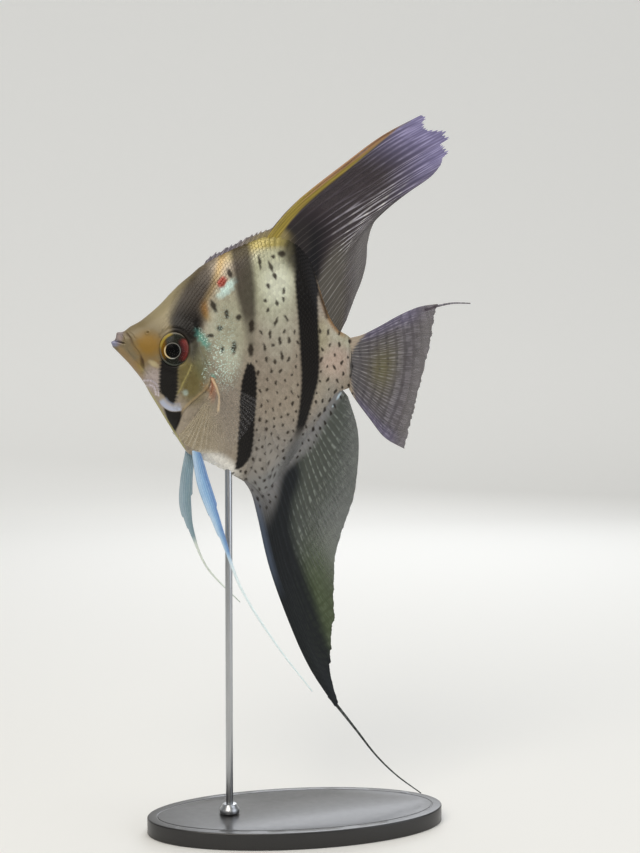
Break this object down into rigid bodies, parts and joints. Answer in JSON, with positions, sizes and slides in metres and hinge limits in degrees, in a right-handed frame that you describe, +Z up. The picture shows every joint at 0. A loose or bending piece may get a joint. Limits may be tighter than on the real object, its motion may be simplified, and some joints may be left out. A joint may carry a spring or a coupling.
{
  "type": "freshwater angelfish model on a display stand",
  "caption": "Life-size model of a tall, thin freshwater angelfish with long trailing fins, head a little raised, held up by a slim rod on a flat oval base.",
  "frame": {"origin": "centre of the stand base's underside, which is the bottom centre of the whole model's box", "axes": "+Z up; the fish heads along -X, and its left side faces -Y"},
  "size_m": [0.1312, 0.052, 0.2573],
  "materials": {
    "skin": "silver-beige scaled skin with soft dark bars",
    "jaw": "smooth grey-pink lips",
    "eye": "clear glossy eye, black pupil, red-brown iris",
    "gold_fin": "gold-brown spiny rays",
    "dark_fin": "thin dark grey rayed fin",
    "pale_fin": "thin, clear brown rayed fin",
    "blue_fin": "pale blue-white feeler fin",
    "base": "satin black lacquer on steel",
    "rod": "bright brushed steel"
  },
  "bodies": {
    "root": {"head": "skin", "gill_cover_left": "skin", "gill_cover_right": "skin", "trunk": "skin", "tail_stalk": "skin", "upper_jaw": "jaw", "lower_jaw": "jaw", "eye_left": "eye", "eye_right": "eye", "dorsal_fin_spines": "gold_fin", "dorsal_fin": "dark_fin", "anal_fin": "dark_fin", "tail_fin": "dark_fin", "pectoral_fin_left": "pale_fin", "pectoral_fin_right": "pale_fin", "pelvic_fin_left": "blue_fin", "pelvic_fin_right": "blue_fin", "stand_base": "base", "stand_rod": "rod", "stand_collar": "rod"}
  },
  "joints": []
}
